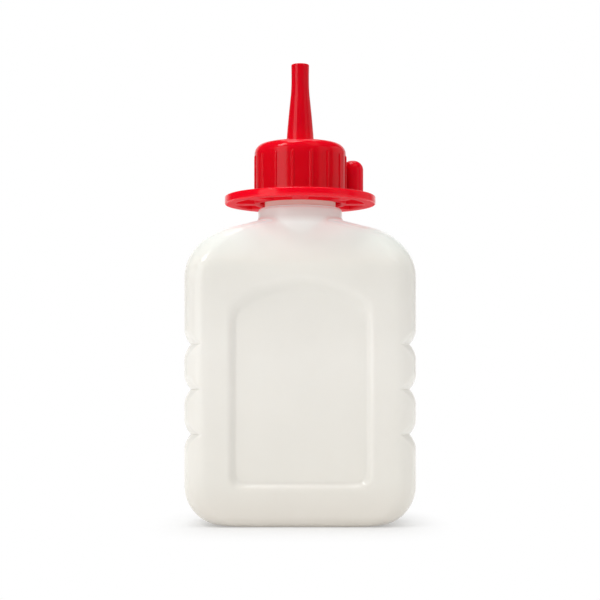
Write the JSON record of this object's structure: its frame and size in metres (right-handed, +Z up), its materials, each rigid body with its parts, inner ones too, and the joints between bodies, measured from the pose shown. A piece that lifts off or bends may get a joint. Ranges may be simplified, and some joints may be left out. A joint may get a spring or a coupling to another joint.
{
  "type": "machine oil bottle",
  "caption": "Flat squeeze bottle for machine oil, with finger grooves on its sides, sunk label panels, and a red screw cap with a flange, a long nozzle and a parked tip stopper.",
  "frame": {"origin": "centre of the base, on the surface that the bottle stands on, under the neck's axis", "axes": "+Z up along the neck, -Y out of the front panel, +X to the right seen from the front"},
  "size_m": [0.062, 0.0412, 0.1252],
  "materials": {
    "bottle_plastic": "smooth satin, milky translucent",
    "cap_plastic": "glossy red",
    "washer_plastic": "soft white foam"
  },
  "bodies": {
    "bottle": {"bottle": "bottle_plastic"},
    "seal": {"sealing_washer": "washer_plastic"},
    "cap": {"spout_cap": "cap_plastic"},
    "stopper": {"tip_stopper": "cap_plastic"}
  },
  "joints": [
    {"name": "cap_lift", "type": "slide", "parent": "bottle", "child": "seal", "axis": [0, 0, 1], "range_m": [0, 0.0046]},
    {"name": "cap_turn", "type": "hinge", "parent": "seal", "child": "cap", "pos_m": [0, 0, 0.0952], "axis": [0, 0, 1], "range_deg": [0, 540]},
    {"name": "stopper_pull", "type": "slide", "parent": "cap", "child": "stopper", "axis": [0, 0, 1], "range_m": [0, 0.006]}
  ],
  "couplings": [
    {"joint": "cap_lift", "follows": "cap_turn", "m_per_rad": 0.00047746}
  ]
}
